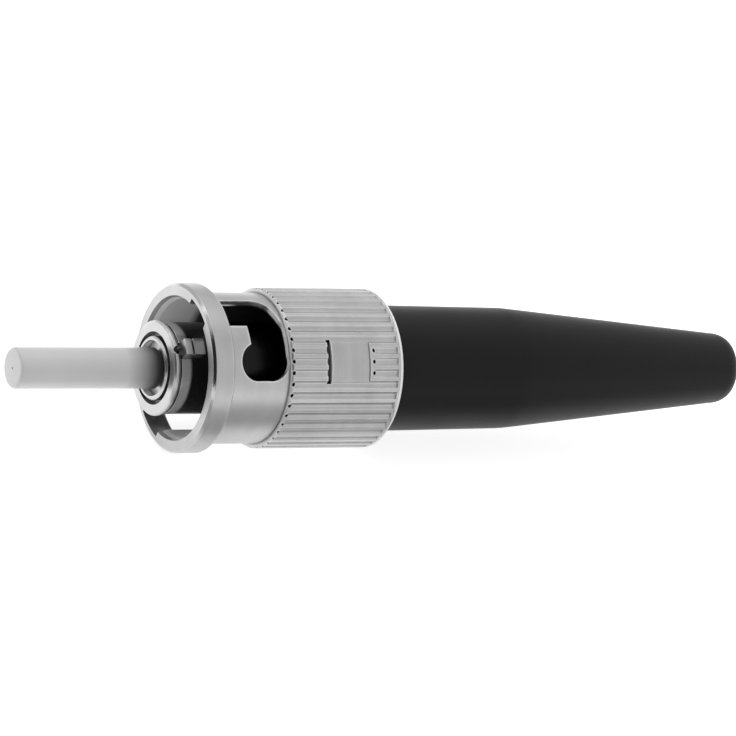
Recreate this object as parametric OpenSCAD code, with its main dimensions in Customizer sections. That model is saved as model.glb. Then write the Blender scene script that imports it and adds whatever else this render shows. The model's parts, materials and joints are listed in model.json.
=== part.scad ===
// Bayonet fibre plug: a ceramic ferrule in a turned plug body, a sprung coupling
// nut with two J-shaped slots, and a tapered rubber boot over the crimp neck.
// The axis is X. The ferrule points along -X and the cable leaves along +X.
// The origin is on the axis, at the front face of the ferrule's holder.
// Angles round the axis are counted from -Y towards +Z.

/* [Ferrule] */
// Diameter of the ferrule
ferrule_d = 2.5; // [2.4:0.01:2.6]
// How far the ferrule reaches out of its holder
ferrule_reach = 9.3; // [8:0.1:11]
// Diameter of the flat on the ferrule's tip
ferrule_tip_d = 2.3; // [1.6:0.1:2.4]
// Length of the tip's bevel
ferrule_tip_len = 0.1; // [0.05:0.05:0.5]
// How far the full diameter goes in behind the holder's face
ferrule_sink = 0.15; // [0.05:0.05:0.2]
// Diameter of the shank that the holder grips
shank_d = 2.1; // [1.9:0.1:2.1]
// Length of that shank
shank_len = 3.6; // [2.5:0.1:4]
// Diameter of the hole for the bare fibre
fibre_d = 0.13; // [0.12:0.01:0.2]
// Diameter of the funnel that leads the fibre in
funnel_d = 0.8; // [0.5:0.1:1.2]

/* [Ferrule holder] */
// Diameter of the holder where the plug body grips it
holder_d = 4.16; // [4.1:0.02:4.3]
// Length of the holder
holder_len = 4.8; // [4.4:0.1:6]
// Diameter of the recess round the ferrule
recess_d = 3.4; // [3.2:0.02:3.5]
// Depth of that recess
recess_depth = 0.5; // [0.3:0.1:1]
// Width of the open ring between the holder's front and the plug body
relief_gap = 0.28; // [0.2:0.02:0.32]
// Depth of that open ring
relief_depth = 0.6; // [0.3:0.1:1]

/* [Plug body] */
// How far the holder stands out of the plug body's face
body_step = 0.12; // [0:0.02:0.3]
// Diameter of the front collar
collar_d = 5.76; // [5.6:0.02:6]
// Length of the front collar
collar_len = 0.38; // [0.3:0.02:0.5]
// Depth of the groove behind the collar
collar_groove = 0.1; // [0.05:0.01:0.2]
// Width of that groove
collar_groove_w = 0.14; // [0.1:0.02:0.3]
// Diameter of the barrel inside the nut
barrel_d = 5.56; // [5.3:0.02:5.6]
// Distance from the holder's face to the spring's flange
barrel_len = 8.2; // [6.5:0.1:8.5]
// Diameter of the spring's flange
flange_d = 7.2; // [7:0.1:7.6]
// Thickness of that flange
flange_t = 0.8; // [0.6:0.1:1]
// Diameter of the neck that the nut turns on
neck_d = 5.2; // [5:0.1:5.4]
// Length of the neck behind the retaining clip
neck_tail = 0.3; // [0.2:0.05:0.6]
// Bore from the holder to the rear end
body_bore_d = 2.6; // [2:0.1:2.6]
// Length of the neck that the cable is crimped on
crimp_neck_len = 5.6; // [4:0.1:7]
// Number of grip grooves on it
crimp_grooves = 6; // [3:1:8]
// Depth of each grip groove
crimp_groove_depth = 0.15; // [0.1:0.01:0.25]
// Small bevel on turned metal edges
edge = 0.1; // [0.05:0.01:0.12]

/* [Key] */
// Angle of the key round the axis
key_angle = 57; // [0:1:359]
// Length of the key along the axis
key_len = 1.25; // [1:0.05:1.6]
// Width of the key
key_w = 1; // [0.8:0.05:1.2]
// Height of the key's top above the axis
key_top = 3.5; // [3.3:0.05:3.7]
// Depth of the key's pocket in the barrel
key_sunk = 0.3; // [0.2:0.05:0.35]
// Distance from the key's front to its cross notch
key_notch_at = 0.4; // [0.3:0.05:0.6]
// Width and depth of that notch
key_notch = 0.16; // [0.1:0.02:0.25]
// Diameter of the stake mark in front of the key
stake_d = 0.55; // [0.4:0.05:0.7]
// Depth of the stake mark below the barrel
stake_depth = 0.45; // [0.2:0.05:0.5]
// How far the stake mark reaches back into the key's pocket
stake_lap = 0.05; // [0.02:0.01:0.1]

/* [Coupling nut] */
// Distance from the holder's face back to the nut's
nut_setback = 1.54; // [1.4:0.02:2.4]
// Length of the nut
nut_len = 13.3; // [12:0.1:14]
// Angle of the nut's locking hole round the axis
nut_angle = 39.5; // [0:0.5:359]
// Diameter of the front rim
rim_d = 10.3; // [10:0.1:10.6]
// Length of the front rim
rim_len = 1.46; // [1.2:0.02:1.8]
// Bevel on the rim's front edge
rim_edge = 0.16; // [0.05:0.01:0.3]
// Diameter of the slotted sleeve
sleeve_d = 9.2; // [9:0.1:9.4]
// Wall of the slotted sleeve
sleeve_wall = 0.4; // [0.35:0.01:0.5]
// Diameter of the grip
grip_d = 9.8; // [9.7:0.1:10.2]
// Distance from the nut's front to the grip
grip_start = 5.5; // [5.5:0.02:6]
// Bevel on the grip's front edge
grip_edge = 0.1; // [0.05:0.01:0.12]
// How much the bore's radius widens towards the nut's front
lead_in = 0.2; // [0.1:0.05:0.3]
// Length over which it widens
lead_in_len = 0.6; // [0.3:0.1:1]
// Thickness of the nut's inner flange
nut_flange_t = 0.8; // [0.6:0.1:1]
// Depth of the rear recess that holds the retaining clip
rear_recess = 0.7; // [0.6:0.05:0.9]
// Diameter of that rear recess
rear_recess_d = 8.2; // [8.1:0.1:8.6]

/* [Grip] */
// Number of grooves round the grip
groove_count = 44; // [30:1:48]
// Width of each groove at the grip's surface
groove_w = 0.48; // [0.3:0.02:0.54]
// Depth of each groove
groove_depth = 0.14; // [0.08:0.01:0.2]
// Diameter of the plunge mark where each groove starts
plunge_d = 0.28; // [0.2:0.02:0.3]
// Diameter of the plunge mark's floor
plunge_floor_d = 0.2; // [0.14:0.02:0.24]
// Depth of the plunge mark
plunge_depth = 0.36; // [0.2:0.02:0.42]
// Smooth length before the grooves
groove_front = 0.16; // [0.16:0.02:0.5]
// Smooth length behind the grooves
groove_rear = 0.35; // [0.25:0.05:1]
// Distance from the nut's front to the plain pad
pad_start = 8.14; // [7.4:0.02:9]
// Length of the plain pad along the axis
pad_len = 2.8; // [2:0.1:3.4]
// Number of groove pitches that the pad spans
pad_pitches = 4; // [2:2:6]
// Depth of the pad below the grip's surface
pad_depth = 0.08; // [0.04:0.01:0.12]
// Width of the cross groove along the pad's front edge
pad_line_w = 0.3; // [0.2:0.02:0.4]
// Depth of that cross groove
pad_line_depth = 0.4; // [0.1:0.02:0.44]

/* [Bayonet slots] */
// Number of slots round the nut
slot_count = 2; // [1:1:2]
// Width of the entry that the socket's lug slides into
entry_w = 2.26; // [2:0.02:2.4]
// Angle from the locking hole to the middle of the entry
entry_turn = 43; // [38:1:60]
// Diameter of the locking hole
lock_d = 2.32; // [2.1:0.02:2.4]
// Distance from the nut's front to the middle of the locking hole
lock_at = 3.36; // [3.2:0.02:3.5]
// Distance from the nut's front to the middle of the lug's path
path_at = 4.3; // [4.2:0.02:4.3]
// How much nearer the front the path is at the entry
ramp_rise = 0.38; // [0.2:0.02:0.5]
// Angle over which the path climbs
ramp_turn = 17; // [10:1:24]
// Distance from the nut's front to the tooth beside the entry
tooth_at = 2.92; // [2.7:0.02:3]
// Metal left in the rim outside each lug groove
lug_groove_wall = 0.4; // [0.3:0.02:0.5]

/* [Spring and retaining parts] */
// Diameter of the spring's wire
wire_d = 0.5; // [0.4:0.05:0.55]
// Diameter of the spring between wire centres
coil_d = 6.6; // [6.3:0.1:6.6]
// Number of turns in the spring
coil_turns = 4.5; // [3.5:0.5:5]
// Part of a turn that lies flat at each end of the spring
coil_flat = 0.25; // [0.1:0.05:0.3]
// Thickness of the thrust washer
washer_t = 0.3; // [0.2:0.05:0.5]
// Thickness of the retaining clip
clip_t = 0.5; // [0.4:0.05:0.55]
// Diameter over the retaining clip
clip_d = 7; // [6.4:0.1:7.4]
// Depth of the clip's groove in the neck
clip_groove = 0.3; // [0.2:0.05:0.35]
// Angle of the opening in the clip
clip_mouth = 70; // [40:5:100]

/* [Cable end] */
// Outer diameter of the lead-in tube
tube_d = 1.6; // [1.4:0.1:1.8]
// Bore of the lead-in tube
tube_bore_d = 1; // [0.9:0.1:1.1]
// How far the lead-in tube goes into the holder
tube_seat = 0.8; // [0.5:0.1:1]
// How far the lead-in tube reaches past the crimp neck
tube_out = 0.8; // [0.2:0.1:2]
// Outer diameter of the crimp sleeve
sleeve_crimp_d = 5.3; // [5.2:0.1:5.6]
// Wall of the crimp sleeve where it grips the neck
sleeve_crimp_wall = 0.39; // [0.3:0.01:0.45]
// Length of the crimp sleeve
sleeve_crimp_len = 6.4; // [5:0.1:8]
// Width of the step inside the sleeve's rear end
sleeve_crimp_lip = 0.5; // [0.3:0.1:0.6]

/* [Boot] */
// How far the boot reaches into the nut
boot_tuck = 0.12; // [0.05:0.01:0.14]
// Length of the boot
boot_len = 26.9; // [24:0.1:30]
// Diameter at the boot's front
boot_front_d = 7.8; // [7.6:0.05:7.9]
// Distance from the boot's front to where the taper starts
boot_taper_at = 9.9; // [8:0.1:12]
// Diameter where the taper starts
boot_taper_d = 7.55; // [7.2:0.05:7.7]
// Diameter that the taper comes to at the tail
boot_tail_d = 4.36; // [4.2:0.02:5]
// Length of the rounded tail
boot_nose_len = 0.95; // [0.6:0.05:1.2]
// Reach of the rounded tail towards the axis
boot_nose_drop = 0.52; // [0.3:0.02:0.55]
// Diameter of the cable's bore
cable_bore_d = 3.1; // [3:0.05:3.2]
// Length of the cable's bore
cable_bore_len = 13; // [8:0.5:14]
// Depth of the boot's front socket
boot_socket_len = 7.6; // [7:0.1:9]

/* [Fits] */
// Radial clearance of a pressed or crimped piece
press_gap = 0.01; // [0:0.005:0.02]
// Radial clearance where the nut turns and slides
running_gap = 0.08; // [0.04:0.01:0.1]
// Gap between faces that rest on each other
face_gap = 0.02; // [0.01:0.01:0.04]
// Radial clearance of the boot over the crimp sleeve
boot_gap = 0.04; // [0.02:0.01:0.06]
// Clearance of the thrust washer inside the nut
washer_gap = 0.1; // [0.05:0.01:0.15]

/* [Hidden] */
$fn = 96;

nut_rear = nut_setback + nut_len;
nut_bore_d = sleeve_d - 2 * sleeve_wall;
lug_groove_d = rim_d - 2 * lug_groove_wall;
nut_flange_rear = nut_rear - rear_recess;
nut_flange_front = nut_flange_rear - nut_flange_t;
washer_x = nut_flange_front - face_gap - washer_t;
spring_x = barrel_len + flange_t + face_gap;
spring_len = washer_x - face_gap - spring_x;
neck_hole_d = neck_d + 2 * running_gap;
clip_x = nut_flange_rear + face_gap;
clip_rear = clip_x + clip_t;
neck_end = clip_rear + neck_tail;
body_end = neck_end + crimp_neck_len;
shank_end = ferrule_sink + shank_len;
collar_end = body_step + collar_len;
collar_groove_end = collar_end + collar_groove_w;
key_x = collar_groove_end; // the key starts where the collar's groove ends
tube_x = holder_len - tube_seat;
tube_end = body_end + tube_out;
boot_x = nut_rear - boot_tuck;
boot_end = boot_x + boot_len;
sleeve_crimp_x = neck_end + face_gap;
boot_socket_d = sleeve_crimp_d + 2 * boot_gap;
crimp_neck_d = sleeve_crimp_d - 2 * sleeve_crimp_wall - 2 * press_gap;
groove_pitch = 360 / groove_count;
cut = 1; // spare length of a cutter beyond the surface it opens

// Turns children that stand along Z to lie along +X.
module lie() rotate([0, 90, 0]) children();

// Turns children that face -Y round the axis by an angle.
module turned(angle) rotate([-angle, 0, 0]) children();

// A solid of revolution about X from [position along X, radius] points.
module lathe(points) lie() rotate_extrude() polygon([for (p = points) [p[1], p[0]]]);

// A ring or disc about X between two positions and two diameters.
module ring(x0, x1, outer, inner = 0) {
    lie() translate([0, 0, x0]) difference() {
        cylinder(h = x1 - x0, d = outer);
        if (inner > 0) translate([0, 0, -cut]) cylinder(h = x1 - x0 + 2 * cut, d = inner);
    }
}

// Part of a ring about X, from one angle to another.
module arc_block(x0, x1, r0, r1, from, to) {
    lie() rotate_extrude(start = 270 - to, angle = to - from)
        translate([r0, x0]) square([r1 - r0, x1 - x0]);
}

// A round cutter that points out from the axis at one place along it.
module round_cutter(x, d, r0, r1) {
    translate([x, 0, 0]) rotate([90, 0, 0]) translate([0, 0, r0]) cylinder(h = r1 - r0, d = d);
}

// A straight cutter that points out from the axis, centred on an angle.
module bar_cutter(x0, x1, w, r0, r1) {
    translate([x0, -r1, -w / 2]) cube([x1 - x0, r1 - r0, w]);
}

module ferrule() {
    tip = -ferrule_reach;
    color("whitesmoke") difference() {
        lathe([
            [tip, 0], [tip, ferrule_tip_d / 2], [tip + ferrule_tip_len, ferrule_d / 2],
            [ferrule_sink, ferrule_d / 2], [ferrule_sink, shank_d / 2],
            [shank_end, shank_d / 2], [shank_end, 0]
        ]);
        lathe([
            [tip - cut, 0], [tip - cut, fibre_d / 2], [shank_end - funnel_d, fibre_d / 2],
            [shank_end + face_gap, funnel_d / 2], [shank_end + face_gap, 0]
        ]);
    }
}

module ferrule_holder() {
    front_d = holder_d - relief_gap;
    color("lightgray") difference() {
        lathe([
            [0, 0], [0, front_d / 2 - edge], [edge, front_d / 2], [relief_depth, front_d / 2],
            [relief_depth, holder_d / 2], [holder_len - edge, holder_d / 2],
            [holder_len, holder_d / 2 - edge], [holder_len, 0]
        ]);
        ring(-cut, recess_depth, recess_d);
        ring(0, shank_end + face_gap, shank_d + 2 * press_gap);
        ring(tube_x - face_gap, holder_len + cut, tube_d + 2 * press_gap);
        ring(0, holder_len, tube_bore_d);
    }
}

module plug_body() {
    collar_r = collar_d / 2;
    groove_bottom = barrel_d / 2 - collar_groove;
    flange_end = barrel_len + flange_t;
    color("silver") difference() {
        lathe([
            [body_step, 0], [body_step, collar_r - edge], [body_step + edge, collar_r],
            [collar_end - edge, collar_r], [collar_end, collar_r - edge],
            [collar_end, groove_bottom], [collar_groove_end, groove_bottom],
            [collar_groove_end, barrel_d / 2], [barrel_len, barrel_d / 2],
            [barrel_len, flange_d / 2 - edge],
            [barrel_len + edge, flange_d / 2], [flange_end - edge, flange_d / 2],
            [flange_end, flange_d / 2 - edge], [flange_end, neck_d / 2], [neck_end, neck_d / 2],
            [neck_end, crimp_neck_d / 2], [body_end - edge, crimp_neck_d / 2],
            [body_end, crimp_neck_d / 2 - edge], [body_end, 0]
        ]);
        ring(-cut, holder_len + face_gap, holder_d + 2 * press_gap);
        ring(-cut, relief_depth, holder_d + relief_gap);
        ring(0, body_end + cut, body_bore_d);
        ring(clip_x - face_gap, clip_rear + face_gap, neck_d + cut, neck_d - 2 * clip_groove);
        crimp_grips();
        turned(key_angle) {
            bar_cutter(key_x - press_gap, key_x + key_len + press_gap,
                key_w + 2 * press_gap, barrel_d / 2 - key_sunk, collar_d);
            round_cutter(key_x + stake_lap - stake_d / 2, stake_d, barrel_d / 2 - stake_depth, collar_d);
        }
    }
}

// Shallow grooves round the crimp neck that the cable's yarn is pressed into.
module crimp_grips() {
    pitch = crimp_neck_len / (crimp_grooves + 1);
    for (i = [1 : crimp_grooves])
        translate([neck_end + i * pitch, 0, 0])
            ring(-pitch / 5, pitch / 5, crimp_neck_d + cut, crimp_neck_d - 2 * crimp_groove_depth);
}

module plug_key() {
    seat = barrel_d / 2 - key_sunk + face_gap;
    color("silver") turned(key_angle) difference() {
        intersection() {
            bar_cutter(key_x, key_x + key_len, key_w, seat, key_top + cut);
            ring(0, key_x + key_len + cut, 2 * key_top);
        }
        bar_cutter(key_x + key_notch_at, key_x + key_notch_at + key_notch,
            key_w + cut, key_top - key_notch, key_top + cut);
    }
}

// The turned blank of the coupling nut, with its bore, inner flange and recesses.
module nut_blank() {
    rim_r = rim_d / 2;
    sleeve_r = sleeve_d / 2;
    grip_r = grip_d / 2;
    bore_r = nut_bore_d / 2;
    difference() {
        translate([nut_setback, 0, 0]) lathe([
            [0, 0], [0, rim_r - rim_edge], [rim_edge, rim_r], [rim_len - edge, rim_r],
            [rim_len, rim_r - edge], [rim_len, sleeve_r + edge], [rim_len + edge, sleeve_r],
            [grip_start, sleeve_r], [grip_start, grip_r - grip_edge], [grip_start + grip_edge, grip_r],
            [nut_len - edge, grip_r], [nut_len, grip_r - edge], [nut_len, 0]
        ]);
        ring(nut_setback - cut, nut_flange_front, nut_bore_d);
        ring(nut_setback, nut_rear, neck_hole_d);
        ring(nut_flange_rear, nut_rear + cut, rear_recess_d);
        translate([nut_setback, 0, 0]) lathe([
            [-cut, 0], [-cut, bore_r + lead_in], [0, bore_r + lead_in],
            [lead_in_len, bore_r], [lead_in_len, 0]
        ]);
    }
}

// One J-shaped slot: the entry, the path across, its climb and the locking hole.
module bayonet_slot() {
    inner = nut_bore_d / 2 - cut;
    outer = rim_d / 2 + cut;
    sleeve_r = sleeve_d / 2;
    entry_end = path_at - ramp_rise;
    ramp_arc = ramp_turn * PI / 180 * sleeve_r;
    ramp_slope = atan2(ramp_rise, ramp_arc);
    path_rear = path_at + entry_w / 2;
    translate([nut_setback, 0, 0]) {
        turned(entry_turn) {
            intersection() {
                bar_cutter(-cut, rim_len + cut, entry_w, inner, outer);
                ring(-cut, rim_len + 2 * cut, lug_groove_d);
            }
            bar_cutter(rim_len, entry_end, entry_w, inner, outer);
            round_cutter(entry_end, entry_w, inner, outer);
        }
        turned(entry_turn - ramp_turn) round_cutter(path_at, entry_w, inner, outer);
        turned(entry_turn - ramp_turn / 2)
            translate([path_at - ramp_rise / 2, 0, 0]) rotate([0, -ramp_slope, 0])
                translate([face_gap - entry_w / 2, -outer, -ramp_arc / 2])
                    cube([entry_w - 2 * face_gap, outer - inner, ramp_arc]);
        arc_block(tooth_at, path_rear - face_gap, inner, outer, 0, entry_turn - ramp_turn);
        arc_block(tooth_at, path_at, inner, outer, 0, entry_turn);
        round_cutter(path_at, lock_d, inner, outer);
        bar_cutter(lock_at, path_at, lock_d - face_gap, inner, outer);
        round_cutter(lock_at, lock_d, inner, outer);
    }
}

// A shallow groove along the grip between two distances from the nut's front, with
// the deeper mark where its cutter plunged in.
module grip_groove(from, to) {
    cutter_r = (groove_w * groove_w / 4 + groove_depth * groove_depth) / (2 * groove_depth);
    floor_r = grip_d / 2 - groove_depth;
    translate([nut_setback + from, -floor_r - cutter_r, 0]) lie() cylinder(h = to - from, r = cutter_r);
    translate([nut_setback + from, 0, 0]) rotate([90, 0, 0])
        translate([0, 0, grip_d / 2 - plunge_depth])
            cylinder(h = 2 * plunge_depth, d1 = plunge_floor_d, d2 = 2 * plunge_d - plunge_floor_d, $fn = 32);
}

module grip_pattern() {
    front = grip_start + groove_front;
    rear = nut_len - groove_rear;
    pad_end = pad_start + pad_len;
    half = pad_pitches / 2;
    for (i = [0 : groove_count - 1]) {
        step = i < groove_count / 2 ? i : i - groove_count;
        turned(step * groove_pitch) {
            if (abs(step) < half) {
                grip_groove(front, pad_start);
                grip_groove(pad_end + pad_line_w, rear);
            } else {
                grip_groove(front, rear);
            }
        }
    }
    half_angle = half * groove_pitch;
    translate([nut_setback, 0, 0]) {
        arc_block(pad_start, pad_end, grip_d / 2 - pad_depth, grip_d / 2 + cut, -half_angle, half_angle);
        arc_block(pad_start - pad_line_w / 2, pad_start + pad_line_w / 2,
            grip_d / 2 - pad_line_depth, grip_d / 2 + cut, -half_angle, half_angle);
    }
}

module coupling_nut() {
    color("silver") turned(nut_angle) difference() {
        nut_blank();
        for (i = [0 : slot_count - 1]) turned(i * 180) bayonet_slot();
        grip_pattern();
    }
}

// A compression spring about X whose end turns lie flat.
module coupling_spring() {
    sides = 8;
    per_turn = 20;
    steps = coil_turns * per_turn;
    rise = spring_len - wire_d;
    function climb(t) = min(1, max(0, (t - coil_flat) / (coil_turns - 2 * coil_flat)));
    function spot(i, j) = let (t = i / per_turn, a = 360 * t, b = 360 * j / sides,
        r = coil_d / 2 + wire_d / 2 * cos(b))
        [spring_x + wire_d / 2 + rise * climb(t) + wire_d / 2 * sin(b), r * cos(a), r * sin(a)];
    points = [for (i = [0 : steps]) for (j = [0 : sides - 1]) spot(i, j)];
    walls = [for (i = [0 : steps - 1]) for (j = [0 : sides - 1]) let (k = (j + 1) % sides)
        [i * sides + j, i * sides + k, (i + 1) * sides + k, (i + 1) * sides + j]];
    start = [[for (j = [sides - 1 : -1 : 0]) j]];
    end = [[for (j = [0 : sides - 1]) steps * sides + j]];
    color("darkgray") polyhedron(points, concat(start, walls, end));
}

module thrust_washer() {
    color("gainsboro")
        ring(washer_x, washer_x + washer_t, nut_bore_d - 2 * washer_gap, neck_hole_d);
}

module retaining_clip() {
    hole_d = neck_d - 2 * clip_groove + 2 * press_gap;
    color("dimgray") lie()
        rotate_extrude(start = clip_mouth / 2, angle = 360 - clip_mouth)
            translate([hole_d / 2, clip_x]) square([(clip_d - hole_d) / 2, clip_t]);
}

module lead_in_tube() {
    color("ivory") ring(tube_x, tube_end, tube_d, tube_bore_d);
}

module crimp_sleeve() {
    end = sleeve_crimp_x + sleeve_crimp_len;
    color("darkgoldenrod") difference() {
        ring(sleeve_crimp_x, end, sleeve_crimp_d);
        ring(sleeve_crimp_x - cut, body_end + face_gap, crimp_neck_d + 2 * press_gap);
        ring(sleeve_crimp_x, end + cut, crimp_neck_d - sleeve_crimp_lip);
    }
}

module boot() {
    nose_steps = 8;
    nose_x = boot_end - boot_nose_len;
    nose = [for (i = [0 : nose_steps]) let (a = 90 * i / nose_steps)
        [nose_x + boot_nose_len * sin(a), boot_tail_d / 2 - boot_nose_drop * (1 - cos(a))]];
    socket_end = boot_x + boot_socket_len;
    bore_start = boot_end - cable_bore_len;
    color([0.13, 0.13, 0.13]) difference() {
        lathe(concat(
            [[boot_x, 0], [boot_x, boot_front_d / 2 - edge], [boot_x + edge, boot_front_d / 2],
                [boot_x + boot_taper_at, boot_taper_d / 2]],
            nose,
            [[boot_end, 0]]
        ));
        ring(boot_x - cut, socket_end, boot_socket_d);
        lathe([[socket_end - edge, 0], [socket_end - edge, boot_socket_d / 2 - edge],
            [bore_start, cable_bore_d / 2], [bore_start, 0]]);
        ring(bore_start - edge, boot_end + cut, cable_bore_d);
    }
}

ferrule();
ferrule_holder();
plug_body();
plug_key();
coupling_nut();
coupling_spring();
thrust_washer();
retaining_clip();
lead_in_tube();
crimp_sleeve();
boot();
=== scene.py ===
# %% [markdown]
# # Dressing a bayonet fibre plug
# The plug arrives from CAD as eleven closed solids, already in place and at their real size.
# This lesson gives each of them the surface that the real piece has: ground ceramic, turned
# and plated metal, drawn wire, smooth moulded rubber. Nothing is moved or resized here.
# The axis of the plug is X, the ferrule points along -X, and all lengths are in metres.

# %% Load the CAD frame
import json
import math

import bpy
import numpy as np
from mathutils import Matrix, Vector


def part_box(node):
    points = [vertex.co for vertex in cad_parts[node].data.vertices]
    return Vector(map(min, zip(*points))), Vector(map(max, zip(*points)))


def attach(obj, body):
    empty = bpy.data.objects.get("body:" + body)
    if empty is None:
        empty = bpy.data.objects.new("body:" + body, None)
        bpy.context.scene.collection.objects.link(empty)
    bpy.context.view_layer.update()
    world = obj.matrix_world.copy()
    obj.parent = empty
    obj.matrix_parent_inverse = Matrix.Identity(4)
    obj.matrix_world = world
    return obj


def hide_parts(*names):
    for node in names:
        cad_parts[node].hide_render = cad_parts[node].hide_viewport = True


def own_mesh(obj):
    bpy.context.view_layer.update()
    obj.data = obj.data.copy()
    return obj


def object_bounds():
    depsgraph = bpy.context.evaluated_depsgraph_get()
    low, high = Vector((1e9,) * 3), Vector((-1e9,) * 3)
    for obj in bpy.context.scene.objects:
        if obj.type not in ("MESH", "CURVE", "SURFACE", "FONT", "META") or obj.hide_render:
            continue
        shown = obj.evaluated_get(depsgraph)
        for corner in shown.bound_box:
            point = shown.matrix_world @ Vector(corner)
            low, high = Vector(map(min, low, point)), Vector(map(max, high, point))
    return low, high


MM = 0.001

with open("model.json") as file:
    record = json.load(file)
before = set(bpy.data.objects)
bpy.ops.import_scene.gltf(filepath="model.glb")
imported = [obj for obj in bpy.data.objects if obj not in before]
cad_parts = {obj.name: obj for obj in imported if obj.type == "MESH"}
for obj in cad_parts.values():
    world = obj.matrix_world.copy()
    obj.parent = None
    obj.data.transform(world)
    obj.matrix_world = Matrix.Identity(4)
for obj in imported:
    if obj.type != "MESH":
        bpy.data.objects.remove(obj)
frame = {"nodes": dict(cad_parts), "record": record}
cad_low, cad_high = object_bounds()
print("CAD box in mm:", [round(v / MM, 2) for v in (*cad_low, *cad_high)])

# %% [markdown]
# ## The camera
# A long lens far away keeps the round parts from looking bent. The camera is placed by two
# angles that are easy to picture: how far the plug's axis leans away from the picture plane,
# and how far the eye stands above the level of the axis. Three directions at right angles,
# right, up and back, make the camera's turning matrix, and the axis stays level in the frame.

# %% Camera
AXIS_LEAN = math.radians(30.5)
EYE_ABOVE = math.radians(35.0)
EYE_DISTANCE = 0.3068
LENS_MM = 243.0
AIM_FORWARD = 1.00 * MM


def eye_directions(lean, above):
    """The right, up and view directions of the eye.

    The view is (sin lean, cos lean cos above, -cos lean sin above). Right and up stand square to it.
    """
    view = Vector((math.sin(lean), math.cos(lean) * math.cos(above), -math.cos(lean) * math.sin(above)))
    right = Vector((math.cos(lean), -math.sin(lean) * math.cos(above), math.sin(lean) * math.sin(above)))
    return right, right.cross(view), view


right, up, view = eye_directions(AXIS_LEAN, EYE_ABOVE)
target = Vector(((cad_low.x + cad_high.x) / 2 - AIM_FORWARD, 0, 0))
camera = bpy.data.objects.new("camera", bpy.data.cameras.new("camera"))
bpy.context.scene.collection.objects.link(camera)
camera.data.lens = LENS_MM
camera.data.clip_start = 0.01
place = Matrix((right, up, -view)).transposed().to_4x4()
place.translation = target - view * EYE_DISTANCE
camera.matrix_world = place
bpy.context.scene.camera = camera
print("camera at mm:", [round(v / MM, 1) for v in camera.location])

# %% [markdown]
# ## Small helpers for node trees
# A material is a tree of nodes. Two short helpers keep the lesson readable: one adds a node and
# joins its inputs, and one starts a node group with named inputs and outputs. A group is an
# effect that several finishes share, such as turning lines or worn edges.

# %% Node helpers
def add(tree, kind, inputs=None, **settings):
    """Adds a shader node, applies its settings, and joins or fills its inputs by name or number."""
    node = tree.nodes.new("ShaderNode" + kind)
    for key, value in settings.items():
        setattr(node, key, value)
    for key, value in (inputs or {}).items():
        if isinstance(value, bpy.types.NodeSocket):
            tree.links.new(value, node.inputs[key])
        else:
            node.inputs[key].default_value = value
    return node


def start_group(name, inputs, outputs):
    """A node group. Its inputs are {name: start value}, and its outputs are numbers from 0 to 1."""
    group = bpy.data.node_groups.new(name, "ShaderNodeTree")
    for label, value in inputs.items():
        socket = group.interface.new_socket(label, in_out="INPUT", socket_type="NodeSocketFloat")
        socket.default_value = value
    for label in outputs:
        group.interface.new_socket(label, in_out="OUTPUT", socket_type="NodeSocketFloat")
    return group, group.nodes.new("NodeGroupInput").outputs, group.nodes.new("NodeGroupOutput").inputs


def use_group(tree, group, **values):
    """Places a group in a tree with its own values, written with _ for a space."""
    node = tree.nodes.new("ShaderNodeGroup")
    node.node_tree = group
    for key, value in values.items():
        node.inputs[key.replace("_", " ")].default_value = value
    return node.outputs


def millimetres(tree):
    """The point on the surface, in millimetres, as a vector and as its three parts."""
    point = add(tree, "TexCoord").outputs["Object"]
    scaled = add(tree, "VectorMath", {0: point, "Scale": 1 / MM}, operation="SCALE").outputs["Vector"]
    return scaled, add(tree, "SeparateXYZ", {0: scaled}).outputs


def maths(tree, operation, *values, clamp=False):
    """One sum on numbers or sockets."""
    return add(tree, "Math", dict(enumerate(values)), operation=operation, use_clamp=clamp).outputs[0]


def axis_radius(tree, parts):
    """Distance from the plug's axis: the square root of y squared plus z squared."""
    y_squared = maths(tree, "POWER", parts["Y"], 2.0)
    z_squared = maths(tree, "POWER", parts["Z"], 2.0)
    return maths(tree, "SQRT", maths(tree, "ADD", y_squared, z_squared))


# %% [markdown]
# ## Floor and light
# Polished metal shows the room more than itself, so the room is built for the metal. The floor is
# a white table that is lit from below, as for a catalogue picture: it takes away the shadow and
# gives the lower half of every round part its bands. Its finish comes further down. One broad
# panel hangs overhead, a little behind, and draws the top edges. The standard view transform
# keeps white white, as a product picture needs.

# %% Floor and panel
FLOOR_SIZE = 6.0
PANEL_PLACE = (-0.10, 0.22, 0.52)
PANEL_SIZE = (0.60, 0.60)
PANEL_POWER = 1.2

floor_mesh = bpy.data.meshes.new("floor")
half = FLOOR_SIZE / 2
corners = [(-half, -half), (half, -half), (half, half), (-half, half)]
floor_mesh.from_pydata([(x, y, cad_low.z) for x, y in corners], [], [(0, 1, 2, 3)])
floor = bpy.data.objects.new("floor", floor_mesh)
bpy.context.scene.collection.objects.link(floor)

panel_data = bpy.data.lights.new("top_panel", "AREA")
panel_data.shape = "RECTANGLE"
panel_data.size, panel_data.size_y = PANEL_SIZE
panel_data.energy = PANEL_POWER
panel = bpy.data.objects.new("top_panel", panel_data)
bpy.context.scene.collection.objects.link(panel)
panel.location = target + Vector(PANEL_PLACE)
panel.rotation_euler = (target - panel.location).to_track_quat("-Z", "Y").to_euler()
bpy.context.scene.view_settings.view_transform = "Standard"
print("panel above the plug, in mm:", [round(v / MM) for v in panel.location])

# %% [markdown]
# ## The surround
# A studio is not white all round: beside the camera, where a person stands, it is dark. Small
# bevels on the near side of a round part mirror just that place, and their thin dark lines are
# what makes an edge look crisp. So the surround is an even grey with one soft dark zone. The zone
# is a smooth step of the cosine of the angle between a direction and the middle of the dark.

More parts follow.
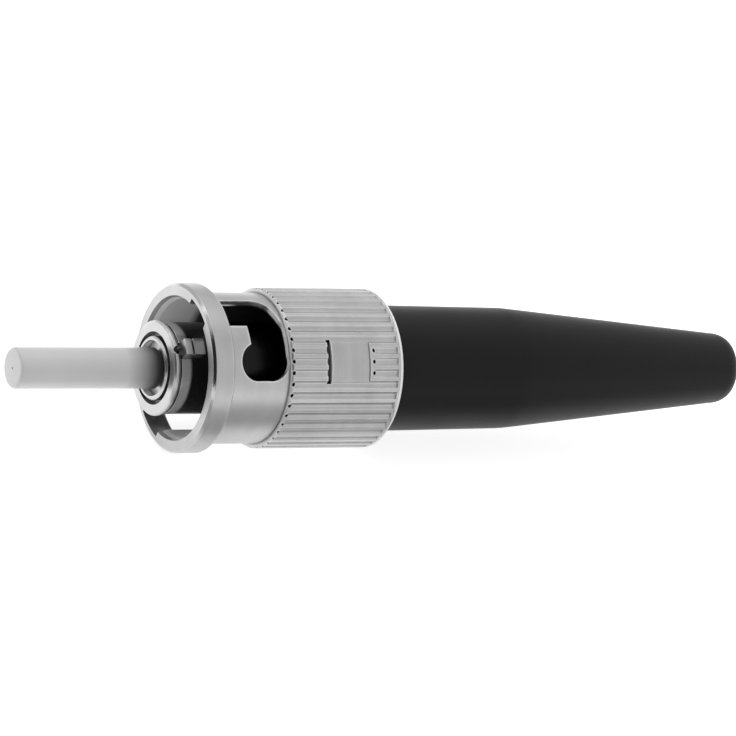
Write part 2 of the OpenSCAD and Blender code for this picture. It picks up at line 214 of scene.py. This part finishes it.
# %% Surround
SURROUND_LIGHT = 0.78
DARK_LIGHT = 0.03
DARK_MIDDLE = (-0.83, -0.47, 0.31)
DARK_WITHIN = math.radians(28)
DARK_FADED = math.radians(42)

world = bpy.data.worlds.new("surround")
world.use_nodes = True
tree = world.node_tree
looking = add(tree, "TexCoord").outputs["Generated"]
facing = add(tree, "VectorMath", {0: looking, 1: DARK_MIDDLE}, operation="DOT_PRODUCT").outputs["Value"]
ends = {1: math.cos(DARK_FADED), 2: math.cos(DARK_WITHIN), 3: SURROUND_LIGHT, 4: DARK_LIGHT}
step = {0: facing, **ends}
strength = add(tree, "MapRange", step, interpolation_type="SMOOTHSTEP").outputs[0]
tree.links.new(strength, tree.nodes["Background"].inputs["Strength"])
tree.nodes["Background"].inputs["Color"].default_value = (1, 1, 1, 1)
bpy.context.scene.world = world
print("surround:", SURROUND_LIGHT, "with a dark zone round", DARK_MIDDLE)

# %% [markdown]
# ## Turning lines
# A lathe tool leaves very fine rings round whatever it cuts. A ring has one position along the
# axis and one distance from it, so noise that is read from those two numbers alone is the same
# all the way round, on a cylinder and on an end face alike. A coarse layer varies the fine one.

# %% Group: turning lines
COARSE_PER_MM = 1.6

turning, ins, outs = start_group("turning_lines", {"Pitch": 0.08}, ["Height"])
_, parts = millimetres(turning)
ring_point = add(turning, "CombineXYZ", {0: parts["X"], 1: axis_radius(turning, parts)}).outputs[0]
fine_scale = maths(turning, "DIVIDE", 1.0, ins["Pitch"])
fine = add(turning, "TexNoise", {"Vector": ring_point, "Scale": fine_scale, "Detail": 2.0})
coarse = add(turning, "TexNoise", {"Vector": ring_point, "Scale": COARSE_PER_MM, "Detail": 1.0})
turning.links.new(maths(turning, "MULTIPLY", fine.outputs["Fac"], coarse.outputs["Fac"]), outs["Height"])

# %% [markdown]
# ## Fine grain
# Plating and moulding leave a surface that is never quite even. A fine noise gives the height of
# the grain, and a broad one gives patches a few millimetres wide. The same group serves metal,
# ceramic, plastic and rubber at different scales.

# %% Group: grain
PATCHES_PER_MM = 0.35

grain, ins, outs = start_group("grain", {"Size": 0.2}, ["Height", "Patches"])
point, _ = millimetres(grain)
grain_scale = maths(grain, "DIVIDE", 1.0, ins["Size"])
fine = add(grain, "TexNoise", {"Vector": point, "Scale": grain_scale, "Detail": 4.0, "Roughness": 0.6})
broad_noise = {"Vector": point, "Scale": PATCHES_PER_MM, "Detail": 3.0, "Distortion": 0.4}
broad = add(grain, "TexNoise", broad_noise)
grain.links.new(fine.outputs["Fac"], outs["Height"])
grain.links.new(broad.outputs["Fac"], outs["Patches"])

# %% [markdown]
# ## Worn edges
# Handling polishes the corners of metal first. A bevelled normal bends away from the true normal
# only near a corner, so one minus their dot product is a mask of the edges. Only corners that
# stick out are rubbed, and those that turn inwards see less of the sky, so the share of the sky
# that a point sees takes them out of the mask. Noise breaks the rest up, because wear is never
# even.

# %% Group: worn edges
BEND_GAIN = 5.0
SKY_AT_FLAT = 0.86
SKY_GAIN = 8.0
UNEVEN_PER_MM = 2.2
WORN_EVERYWHERE = 0.35

wear, ins, outs = start_group("worn_edges", {"Reach": 0.08}, ["Mask"])
reach = maths(wear, "MULTIPLY", ins["Reach"], MM)
bent = add(wear, "Bevel", {"Radius": reach}, samples=6).outputs[0]
true_normal = add(wear, "NewGeometry").outputs["Normal"]
match = add(wear, "VectorMath", {0: bent, 1: true_normal}, operation="DOT_PRODUCT").outputs["Value"]
corner = maths(wear, "MULTIPLY", maths(wear, "SUBTRACT", 1.0, match), BEND_GAIN, clamp=True)
sky = add(wear, "AmbientOcclusion", {"Distance": reach}, samples=6).outputs["AO"]
outward = maths(wear, "MULTIPLY", maths(wear, "SUBTRACT", sky, SKY_AT_FLAT), SKY_GAIN, clamp=True)
corner = maths(wear, "MULTIPLY", corner, outward)
point, _ = millimetres(wear)
uneven = add(wear, "TexNoise", {"Vector": point, "Scale": UNEVEN_PER_MM, "Detail": 3.0}).outputs["Fac"]
handled = maths(wear, "ADD", uneven, WORN_EVERYWHERE)
wear.links.new(maths(wear, "MULTIPLY", corner, handled, clamp=True), outs["Mask"])

# %% [markdown]
# ## Painted shade in recesses
# Grooves, punched marks and the seams between pieces are darkened with painted shade. The share
# of the sky that a point sees within a short reach tells how deep it lies. What it misses, beyond
# an amount that shallow grooves are allowed, is made stronger and becomes the mask.

# %% Group: painted shade in recesses
recess, ins, outs = start_group("recesses", {"Reach": 0.3, "Allowed": 0.2, "Gain": 2.0}, ["Mask"])
reach = maths(recess, "MULTIPLY", ins["Reach"], MM)
sky = add(recess, "AmbientOcclusion", {"Distance": reach}, samples=8).outputs["AO"]
# The sky that a point misses becomes painted shade.
missed = maths(recess, "SUBTRACT", maths(recess, "SUBTRACT", 1.0, sky), ins["Allowed"])
recess.links.new(maths(recess, "MULTIPLY", missed, ins["Gain"], clamp=True), outs["Mask"])

# %% [markdown]
# ## Where along the plug
# One piece can be bright outside and oiled inside, or clean in front and rubbed behind. This mask
# is 1 further back than a place along the axis and nearer to the axis than a radius. Before the
# place it is 0, and it rises evenly over a short way.

# %% Group: behind a place
behind, ins, outs = start_group("behind_a_place", {"From": 3.0, "Fade": 0.8, "Within": 9.0}, ["Mask"])
_, parts = millimetres(behind)
beyond = maths(behind, "SUBTRACT", parts["X"], ins["From"])
along = maths(behind, "DIVIDE", beyond, ins["Fade"], clamp=True)
near_axis = maths(behind, "LESS_THAN", axis_radius(behind, parts), ins["Within"])
behind.links.new(maths(behind, "MULTIPLY", along, near_axis), outs["Mask"])
print("node groups:", sorted(g.name for g in bpy.data.node_groups))

# %% [markdown]
# ## The finishes
# Each finish is one Principled shader. What is the same all over is written on the shader's own
# socket, and only what varies comes from the groups. One helper starts the tree, three mix two
# values by a mask, and one turns heights into a bump whose depth is a real length.

# %% Finish helpers
def start_finish(name, **values):
    """A material with one Principled shader, set to the values that are the same all over."""
    material = bpy.data.materials.new(name)
    material.use_nodes = True
    tree = material.node_tree
    shader = tree.nodes["Principled BSDF"]
    for key, value in values.items():
        shader.inputs[key.replace("_", " ")].default_value = value
    return material, tree, shader


def grey(value):
    """A colour without hue."""
    return (value, value, value, 1)


def blend_tones(tree, mask, first, second):
    """The first colour where the mask is 0 and the second where it is 1."""
    return add(tree, "Mix", {0: mask, 6: first, 7: second}, data_type="RGBA").outputs[2]


def tone(tree, mask, dark, light):
    """A grey that runs from dark to light as the mask runs from 0 to 1."""
    return blend_tones(tree, mask, grey(dark), grey(light))


def between(tree, value, low, high):
    """A number that runs from low to high as value runs from 0 to 1."""
    return add(tree, "MapRange", {0: value, 3: low, 4: high}).outputs[0]


def past(tree, start, fade, within=9.0):
    """A mask that is 1 behind a place along the axis, within a radius, all in millimetres."""
    return use_group(tree, behind, From=start, Fade=fade, Within=within)["Mask"]


def emboss(tree, shader, height, depth_mm, strength=1.0, rounding_mm=0.0):
    """Feeds a bump of a real depth to the shader, over corners that are rounded by a small radius."""
    inputs = {"Height": height, "Distance": depth_mm * MM, "Strength": strength}
    if rounding_mm:
        inputs["Normal"] = add(tree, "Bevel", {"Radius": rounding_mm * MM}, samples=6).outputs[0]
    bump = add(tree, "Bump", inputs)
    tree.links.new(bump.outputs[0], shader.inputs["Normal"])


# %% [markdown]
# ## Ground ceramic
# The ferrule is hard white ceramic, ground to size between wheels. It is light, a little glossy,
# and carries faint rings from grinding. A thin clear coat gives the highlight its hard edge. Its
# last stretch, next to the holder, is painted dark as shade.

# %% Finish: ceramic
ROOT_SHADE_FROM = -2.1
ROOT_SHADE_FADE = 2.0
ROD_WITHIN = 2.0


def ceramic_finish():
    """Pale grey-white with broad patches, ground rings in the bump, a light coat and painted shade at the
    root.
    """
    material, tree, shader = start_finish("ground_ceramic", Coat_Weight=0.25, Coat_Roughness=0.12)
    patches = use_group(tree, grain, Size=0.12)
    rings = use_group(tree, turning, Pitch=0.06)
    root_shade = past(tree, ROOT_SHADE_FROM, ROOT_SHADE_FADE, ROD_WITHIN)
    ground = tone(tree, patches["Patches"], 0.56, 0.64)
    # Painted shade: the root next to the holder is darkened almost to black.
    colour = blend_tones(tree, root_shade, ground, grey(0.05))
    tree.links.new(colour, shader.inputs["Base Color"])
    tree.links.new(between(tree, patches["Height"], 0.30, 0.44), shader.inputs["Roughness"])
    emboss(tree, shader, rings["Height"], 0.004, rounding_mm=0.04)
    return material


# %% [markdown]
# ## Turned nickel
# The plug body, its holder and its key are turned from rod and plated bright. The rings show most
# on the end faces. Worn corners are a shade lighter, and recesses are darkened with painted shade.
# Inside the nut the barrel is painted near-black as shade, and on the key, which stands higher,
# that painted shade starts a little further back.

# %% Finish: turned nickel
def turned_finish(name, shade_from, fade):
    """Bright plated metal with turning rings, light worn corners, and painted shade in recesses and at the
    far end.
    """
    material, tree, shader = start_finish(name, Metallic=1.0)
    rings = use_group(tree, turning, Pitch=0.07)
    surface = use_group(tree, grain, Size=0.15)
    edges = use_group(tree, wear, Reach=0.07)
    shaded_hollow = use_group(tree, recess, Reach=0.35, Allowed=0.25, Gain=2.5)
    painted_deep_shade = past(tree, shade_from, fade)
    plated = tone(tree, surface["Patches"], 0.44, 0.64)
    worn = blend_tones(tree, edges["Mask"], plated, grey(0.82))
    # Painted shade in recesses.
    shaded = blend_tones(tree, shaded_hollow["Mask"], worn, grey(0.05))
    # Painted shade on the far end, inside the nut.
    colour = blend_tones(tree, painted_deep_shade, shaded, grey(0.02))
    tree.links.new(colour, shader.inputs["Base Color"])
    tree.links.new(between(tree, surface["Height"], 0.22, 0.38), shader.inputs["Roughness"])
    emboss(tree, shader, rings["Height"], 0.006, rounding_mm=0.03)
    return material


# %% [markdown]
# ## Satin nickel
# The coupling nut is what fingers hold. Its plating is satin: bright, but with a fine grain that
# spreads each reflection. The slots and ridges are rubbed lighter, and the grip's front shoulder
# and rear ring are lighter too, partly from wear and partly as painted highlight. The grooves
# between the ridges are darkened with painted shade. The rim's front edge is cut by a sharp tool,
# so it is smooth. The bore is left as the boring bar cut it, pale and matt in front, and further
# in it is painted black as shade. All of these are masks, measured in millimetres from the nut's
# own ends.

# %% Masks of the nut
nut_low, nut_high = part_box("coupling_nut")
NUT_FRONT = nut_low.x / MM
NUT_REAR = nut_high.x / MM
BORE_R = 4.3
BORE_FROM = NUT_FRONT - 0.54
BORE_SHADE_FROM = NUT_FRONT + 2.66
RIM_EDGE_TO = NUT_FRONT + 0.21
GRIP_FROM = NUT_FRONT + 4.96
SEAM_FROM = NUT_REAR - 0.64
REAR_RING_FROM = NUT_REAR - 0.24
FORWARD_GAIN = 5.0
SLANT_X = 0.707
SLANT_GAIN = 6.0


def rubbed_and_lit_mask(tree, normal_x):
    """Worn edges behind the rim, plus the grip's rear ring and its front shoulder, which faces forward;
    the ring and shoulder are partly wear and partly painted highlight.

    Facing is 1 where the normal points straight forward, and it falls evenly to 0 where the
    normal's forward part is one minus one over the gain.
    """
    edges = use_group(tree, wear, Reach=0.22)["Mask"]
    edges = maths(tree, "MULTIPLY", edges, past(tree, RIM_EDGE_TO, 0.15))
    # Painted highlight on the grip's rear ring.
    ring = past(tree, REAR_RING_FROM, 0.06)
    forward = maths(tree, "MULTIPLY", normal_x, -FORWARD_GAIN)
    facing = maths(tree, "SUBTRACT", forward, FORWARD_GAIN - 1, clamp=True)
    # Painted highlight on the forward-facing shoulder.
    lit_shoulder = maths(tree, "MULTIPLY", facing, past(tree, GRIP_FROM, 0.1))
    return maths(tree, "MAXIMUM", maths(tree, "MAXIMUM", edges, ring), lit_shoulder)


def smooth_mask(tree, normal_x):
    """The rim's slanting front edge, whose normal points half forward and half outward.

    The mask is 1 where the normal points at 45 degrees, and 0 about 14 degrees away from that.
    """
    off = maths(tree, "ABSOLUTE", maths(tree, "ADD", normal_x, SLANT_X))
    slant = maths(tree, "SUBTRACT", 1.0, maths(tree, "MULTIPLY", off, SLANT_GAIN), clamp=True)
    rim = maths(tree, "SUBTRACT", 1.0, past(tree, RIM_EDGE_TO, 0.15))
    return maths(tree, "MULTIPLY", slant, rim)


def nut_groove_shade(tree):
    """Painted shade in grooves, marks and seams, but not in the seam behind the nut's last edge."""
    shaded_hollow = use_group(tree, recess, Reach=0.35, Allowed=0.28, Gain=3.2)["Mask"]
    return maths(tree, "SUBTRACT", shaded_hollow, past(tree, SEAM_FROM, 0.1), clamp=True)


# %% Finish: satin nickel
def satin_finish():
    """Satin plated metal with fine grain, worn edges with painted highlights, painted shade in grooves,
    and a bore that is matt in front and painted black as shade further in.
    """
    material, tree, shader = start_finish("satin_nickel")
    rings = use_group(tree, turning, Pitch=0.09)
    surface = use_group(tree, grain, Size=0.10)
    normal = add(tree, "NewGeometry").outputs["Normal"]
    normal_x = add(tree, "SeparateXYZ", {0: normal}).outputs["X"]
    rubbed_and_lit = rubbed_and_lit_mask(tree, normal_x)
    bore = past(tree, BORE_FROM, 0.1, BORE_R)
    # Painted shade: the bore turns black further in.
    painted_deep_shade = past(tree, BORE_SHADE_FROM, 0.6, BORE_R)
    mottled = maths(tree, "ADD", surface["Patches"], maths(tree, "MULTIPLY", rings["Height"], 0.5))
    colour = tone(tree, maths(tree, "SUBTRACT", mottled, 0.15), 0.40, 0.62)
    # Wear with painted highlight, painted shade in grooves, the pale matt bore, then painted black shade
    # deep in the bore.
    masks = (rubbed_and_lit, 0.92), (nut_groove_shade(tree), 0.05), (bore, 0.97), (painted_deep_shade, 0.02)
    for mask, value in masks:
        colour = blend_tones(tree, mask, colour, grey(value))
    tree.links.new(colour, shader.inputs["Base Color"])
    matt = maths(tree, "ADD", bore, maths(tree, "MULTIPLY", rubbed_and_lit, 0.8), clamp=True)
    grained = between(tree, surface["Height"], 0.28, 0.42)
    cut = maths(tree, "MULTIPLY", smooth_mask(tree, normal_x), 0.22)
    roughened = maths(tree, "ADD", grained, maths(tree, "MULTIPLY", matt, 0.25))
    roughness = maths(tree, "SUBTRACT", roughened, cut)
    tree.links.new(roughness, shader.inputs["Roughness"])
    tree.links.new(between(tree, matt, 1.0, 0.15), shader.inputs["Metallic"])
    both = maths(tree, "ADD", rings["Height"], maths(tree, "MULTIPLY", surface["Height"], 0.8))
    emboss(tree, shader, both, 0.005, rounding_mm=0.035)
    return material


# %% [markdown]
# ## Drawn steel, drawn brass and plastic tube
# The spring, washer and clip are hard steel, darker than plating. The crimp sleeve is soft drawn
# brass with a matt skin. The lead-in tube is plain smooth plastic. They hide inside the plug, but
# they show when the nut is pushed forward or when someone opens the model.

# %% Finishes of the inner pieces
def steel_finish():
    """Dark hard steel with fine grain and lighter corners."""
    material, tree, shader = start_finish("spring_steel", Metallic=1.0)
    surface = use_group(tree, grain, Size=0.08)
    edges = use_group(tree, wear, Reach=0.05)
    steel = tone(tree, surface["Patches"], 0.20, 0.34)
    colour = blend_tones(tree, edges["Mask"], steel, grey(0.6))
    tree.links.new(colour, shader.inputs["Base Color"])
    tree.links.new(between(tree, surface["Height"], 0.28, 0.42), shader.inputs["Roughness"])
    emboss(tree, shader, surface["Height"], 0.003)
    return material


def brass_finish():
    """Matt drawn brass, browner in patches."""
    material, tree, shader = start_finish("drawn_brass", Metallic=1.0)
    surface = use_group(tree, grain, Size=0.14)
    colour = blend_tones(tree, surface["Patches"], (0.42, 0.36, 0.24, 1), (0.66, 0.60, 0.45, 1))
    tree.links.new(colour, shader.inputs["Base Color"])
    tree.links.new(between(tree, surface["Height"], 0.34, 0.50), shader.inputs["Roughness"])
    emboss(tree, shader, surface["Height"], 0.006, rounding_mm=0.03)
    return material


def tube_finish():
    """Smooth pale plastic, a little uneven."""
    material, tree, shader = start_finish("tube_plastic")
    surface = use_group(tree, grain, Size=0.3)
    tree.links.new(tone(tree, surface["Patches"], 0.68, 0.80), shader.inputs["Base Color"])
    tree.links.new(between(tree, surface["Height"], 0.42, 0.55), shader.inputs["Roughness"])
    emboss(tree, shader, surface["Height"], 0.004)
    return material


# %% [markdown]
# ## Moulded rubber
# The boot is soft black rubber from a smooth mould: almost black, with a weak sheen towards its
# edges, a very fine skin, and a little pale dust that rubber always draws. Where it goes into the
# nut it is painted blacker as shade, and its colour runs greyer towards its tail.

# %% Finish: rubber
TAIL_FROM = 24.0
TAIL_FADE = 18.0
DUST_ABOVE = 0.66
DUST_GAIN = 4.0


def rubber_finish():
    """Near-black with a fine skin in the bump, broad patches of gloss and sparse pale dust."""
    even = {"Specular_IOR_Level": 0.18, "Sheen_Weight": 0.05, "Sheen_Roughness": 0.3}
    material, tree, shader = start_finish("boot_rubber", **even)
    skin = use_group(tree, grain, Size=0.16)
    dust = use_group(tree, grain, Size=0.05)
    shaded_hollow = use_group(tree, recess, Reach=1.0, Allowed=0.02, Gain=4.0)
    above = maths(tree, "SUBTRACT", dust["Height"], DUST_ABOVE)
    specks = maths(tree, "MULTIPLY", above, DUST_GAIN, clamp=True)
    tail = past(tree, TAIL_FROM, TAIL_FADE)
    black = tone(tree, skin["Patches"], 0.004, 0.008)
    greyer = blend_tones(tree, tail, black, grey(0.014))
    dusty = blend_tones(tree, specks, greyer, grey(0.03))
    # Painted shade where the boot goes into the nut.
    colour = blend_tones(tree, shaded_hollow["Mask"], dusty, grey(0.0))
    tree.links.new(colour, shader.inputs["Base Color"])
    tree.links.new(between(tree, skin["Patches"], 0.38, 0.52), shader.inputs["Roughness"])
    emboss(tree, shader, skin["Height"], 0.012, strength=0.6)
    return material


# %% [markdown]
# ## Finishes on the CAD nodes
# Every CAD node comes with the name of its material slot, and the slot decides the finish. The
# plug body is the one exception: its painted shade inside the nut starts sooner than on the key,
# which stands higher.

# %% Finish each CAD node
FINISHES = {
    "ceramic": ceramic_finish(),
    "nickel": turned_finish("turned_nickel", shade_from=1.9, fade=1.0),
    "nut_nickel": satin_finish(),
    "spring_steel": steel_finish(),
    "tube_plastic": tube_finish(),
    "crimp_metal": brass_finish(),
    "boot_rubber": rubber_finish(),
}
OWN_FINISHES = {"plug_body": turned_finish("turned_nickel_barrel", shade_from=1.15, fade=0.2)}
for name, node in frame["nodes"].items():
    finish = OWN_FINISHES.get(name, FINISHES[node.data.materials[0].name])
    node.data.materials[0] = finish
    print(name, "is finished in", finish.name)

# %% [markdown]
# ## Surfaces from two parameters
# A turned or moulded round part is a profile carried once round the axis. As arrays that is one
# multiplication: every profile point gives a ring, and every ring has the same angles. The faces
# join each point to its neighbour along the profile and round the ring. A short helper rounds the
# corners of a profile first, because a real edge is never perfectly sharp.

# %% Profile and grid helpers
NEARLY_STRAIGHT = math.radians(89.5)
SHARP_FROM = math.radians(50)


def rounded(points, radii, steps=8):
    """A closed profile whose corners are arcs.

    Each corner is cut back by its radius over the tangent of half its angle. The arc between the
    two cuts is swept in equal steps. A corner without a radius, or almost straight, stays a point.
    """
    points = np.asarray(points, float)
    out = []
    for before, corner, after, radius in zip(np.roll(points, 1, 0), points, np.roll(points, -1, 0), radii):
        a = (before - corner) / np.linalg.norm(before - corner)
        b = (after - corner) / np.linalg.norm(after - corner)
        half_angle = math.acos(np.clip(a @ b, -1, 1)) / 2
        if radius <= 0 or half_angle > NEARLY_STRAIGHT:
            out.append(corner[None])
            continue
        centre = corner + (a + b) / np.linalg.norm(a + b) * radius / math.sin(half_angle)
        first = corner + a * radius / math.tan(half_angle) - centre
        last = corner + b * radius / math.tan(half_angle) - centre
        t = np.linspace(0, 1, steps + 1)[:, None]
        sweep = math.pi - 2 * half_angle
        out.append(centre + (first * np.sin((1 - t) * sweep) + last * np.sin(t * sweep)) / math.sin(sweep))
    return np.concatenate(out)


def new_piece(name, points, faces, slot_name, body):
    """A smooth piece with sharp corners, in its finish, that rides on a body."""
    mesh = bpy.data.meshes.new(name)
    mesh.from_pydata(points.tolist(), [], faces)
    mesh.shade_smooth()
    mesh.set_sharp_from_angle(angle=SHARP_FROM)
    mesh.materials.append(FINISHES[slot_name])
    piece = bpy.data.objects.new(name, mesh)
    bpy.context.scene.collection.objects.link(piece)
    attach(piece, body)
    print(name, "has", len(faces), "faces")
    return piece


def grid_piece(name, points, slot_name, body):
    """A closed piece from a grid of points that wraps both ways.

    Its signed volume is the sum over all triangles of a cross b dot c. If that is negative, the
    faces look inwards, and the order of their corners is turned round.
    """
    rows, columns = points.shape[:2]
    i, j = np.meshgrid(np.arange(rows), np.arange(columns), indexing="ij")
    across = (j + 1) % columns
    here, there = i * columns, (i + 1) % rows * columns
    faces = np.stack([here + j, there + j, there + across, here + across], -1).reshape(-1, 4)
    flat = points.reshape(-1, 3)
    a, b, c, d = (flat[faces[:, k]] for k in range(4))
    volume = (np.cross(a, b) * c).sum() + (np.cross(a, c) * d).sum()
    if volume < 0:
        faces = faces[:, ::-1]
    print(name, "holds", round(abs(volume) / 6 / MM**3, 1), "cubic mm")
    return new_piece(name, flat, faces.tolist(), slot_name, body)


def turned_grid(profile, around=192):
    """A profile of [x, radius] carried round X: point (i, j) is (x_i, r_i cos a_j, r_i sin a_j)."""
    angle = np.linspace(0, 2 * np.pi, around, endpoint=False)
    x, r = profile[:, :1], profile[:, 1:]
    return np.stack([x + 0 * angle, r * np.cos(angle), r * np.sin(angle)], -1)


def keep_flats(piece):
    """Weights the normals by face area: broad faces stay even, and the shading turns at corners."""
    piece.modifiers.new("even_flats", "WEIGHTED_NORMAL").keep_sharp = True


# %% [markdown]
# ## The boot
# The boot is a hollow rubber cone: nearly straight over the crimp, then tapering to a soft round
# tail with a hole for the cable. Where the straight part turns into the taper the corner radius
# is long, because moulded rubber has no crease. The tail's edge is a quarter of an ellipse.

# %% Piece: boot
BOOT_TAPER_AT = 9.9 * MM
BOOT_TAPER_R = 3.775 * MM
BOOT_TAIL_R = 2.26 * MM
BOOT_NOSE = 1.15 * MM
BOOT_NOSE_DROP = 0.62 * MM
BOOT_SOCKET = 7.6 * MM
BOOT_SOCKET_R = 2.69 * MM

mounts = {m["name"]: m for m in frame["record"]["mounts"]}
cable_r = mounts["cable_entry"]["dims"]["r_mm"] * MM
cable_length = mounts["cable_entry"]["dims"]["length_mm"] * MM

low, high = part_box("boot")
turn = np.linspace(0, math.pi / 2, 10)
nose_x = high.x - BOOT_NOSE * (1 - np.sin(turn))
nose_r = BOOT_TAIL_R - BOOT_NOSE_DROP * (1 - np.cos(turn))
boot_outline = [
    (low.x, BOOT_SOCKET_R), (low.x, high.y), (low.x + BOOT_TAPER_AT, BOOT_TAPER_R),
    *zip(nose_x, nose_r),
    (high.x, cable_r), (high.x - cable_length, cable_r), (low.x + BOOT_SOCKET, BOOT_SOCKET_R),
]
boot_corners = [0.1 * MM, 0.12 * MM, 12 * MM, *[0] * len(turn), 0.04 * MM, 0, 0]
boot_profile = rounded(boot_outline, boot_corners)
boot = grid_piece("boot_shell", turned_grid(boot_profile), "boot_rubber", "plug")
keep_flats(boot)
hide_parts("boot")

# %% [markdown]
# ## The ferrule
# The ferrule is a plain rod with a polished tip, a softened edge and a hole for one bare fibre
# down its middle. The profile runs along the outside and back through that hole, so the rod is
# one closed skin.

# %% Piece: ferrule
TIP_ROUNDING = 0.2 * MM
SHANK_R = 1.05 * MM
SHANK_FROM = 0.15 * MM
FUNNEL_R = 0.4 * MM
FUNNEL_LENGTH = 0.8 * MM
FIBRE_R = 0.065 * MM

low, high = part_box("ferrule")
ferrule_r = mounts["ferrule"]["dims"]["r_mm"] * MM
ferrule_outline = [
    (low.x, FIBRE_R), (low.x, ferrule_r), (SHANK_FROM, ferrule_r),
    (SHANK_FROM, SHANK_R), (high.x, SHANK_R), (high.x, FUNNEL_R), (high.x - FUNNEL_LENGTH, FIBRE_R),
]
ferrule_corners = [0, TIP_ROUNDING, 0.03 * MM, 0.03 * MM, 0.05 * MM, 0, 0]
ferrule_profile = rounded(ferrule_outline, ferrule_corners)
ferrule = grid_piece("ferrule_rod", turned_grid(ferrule_profile), "ceramic", "plug")
keep_flats(ferrule)
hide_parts("ferrule")

# %% [markdown]
# ## The spring
# A compression spring is a round wire carried along a helix whose first and last part of a turn
# lies flat. Its two parameters are the way along the wire and the way round it. The frame gives
# the spring's length and outer size.

# %% Piece: spring
WIRE_R = 0.25 * MM
COIL_TURNS = 4.5
COIL_FLAT = 0.25
END_GIRTH = 0.001


def coil_points(low, high, wire_r, turns, flat, per_turn=48, sides=12):
    """A wire along a helix about X, as rings of points.

    The height is 0 for the first flat part of a turn, climbs evenly, and is full for the last.
    At each end one more ring shrinks to almost a point and closes the wire.
    """
    t = np.linspace(0, turns, int(turns * per_turn) + 1)
    closed = np.concatenate([t[:1], t, t[-1:]])[:, None]
    girth = np.ones_like(closed)
    girth[[0, -1]] = END_GIRTH
    b = np.linspace(0, 2 * np.pi, sides, endpoint=False)
    rise = (high.x - low.x) - 2 * wire_r
    height = np.clip((closed - flat) / (turns - 2 * flat), 0, 1) * rise
    radius = high.y - wire_r + girth * wire_r * np.cos(b)
    x = low.x + wire_r + height + girth * wire_r * np.sin(b)
    return np.stack([x, radius * np.cos(2 * np.pi * closed), radius * np.sin(2 * np.pi * closed)], -1)


def tube_piece(name, points, slot_name, body):
    """A closed tube from a grid that wraps only round the wire, with a face over each end ring."""
    rows, columns = points.shape[:2]
    i, j = np.meshgrid(np.arange(rows - 1), np.arange(columns), indexing="ij")
    across = (j + 1) % columns
    here, there = i * columns, (i + 1) * columns
    walls = np.stack([here + j, here + across, there + across, there + j], -1)
    start = list(range(columns))[::-1]
    end = [(rows - 1) * columns + k for k in range(columns)]
    faces = walls.reshape(-1, 4).tolist() + [start, end]
    return new_piece(name, points.reshape(-1, 3), faces, slot_name, body)


low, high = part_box("coupling_spring")
wire = coil_points(low, high, WIRE_R, COIL_TURNS, COIL_FLAT)
spring = tube_piece("spring_wire", wire, "spring_steel", "plug")
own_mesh(spring)
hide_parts("coupling_spring")

# %% [markdown]
# ## The floor's own finish
# The floor is only a stage, so it is plain, pale and matt, and it glows as a table of white glass
# does with lamps under it. Seen directly it is an even white, and the shadow stays faint. The
# nut's metal mirrors the lamps themselves: one wide lamp under the plug and behind it, one in
# front, and a dark strip between the two, which gives the round parts their soft dark band. A
# trace of grain keeps the floor from looking like a cut-out.

# %% Finish: floor
FLOOR_GLOW_SEEN = 0.80
UNDER_GLOW = 0.80
UNDER_LAMP_TO = 4.6
FRONT_GLOW = 0.66
FRONT_LAMP_FROM = 22.0
LAMP_EDGE = 3.2

floor_finish, tree, shader = start_finish("pale_floor", Roughness=0.9, Emission_Strength=1.0)
patches = use_group(tree, grain, Size=4.0)["Patches"]
tree.links.new(tone(tree, patches, 0.60, 0.62), shader.inputs["Base Color"])
_, parts = millimetres(tree)
ahead = maths(tree, "MULTIPLY", parts["Y"], -1.0)
under = {0: ahead, 1: UNDER_LAMP_TO, 2: UNDER_LAMP_TO + LAMP_EDGE, 3: UNDER_GLOW, 4: 0.0}
front = {0: ahead, 1: FRONT_LAMP_FROM - LAMP_EDGE, 2: FRONT_LAMP_FROM, 3: 0.0, 4: FRONT_GLOW}
lamps = []
for step in (under, front):
    lamps.append(add(tree, "MapRange", step, interpolation_type="SMOOTHSTEP").outputs[0])
seen = add(tree, "LightPath").outputs["Is Camera Ray"]
glow = blend_tones(tree, seen, maths(tree, "ADD", *lamps), grey(FLOOR_GLOW_SEEN))
tree.links.new(glow, shader.inputs["Emission Color"])
floor_mesh.materials.append(floor_finish)
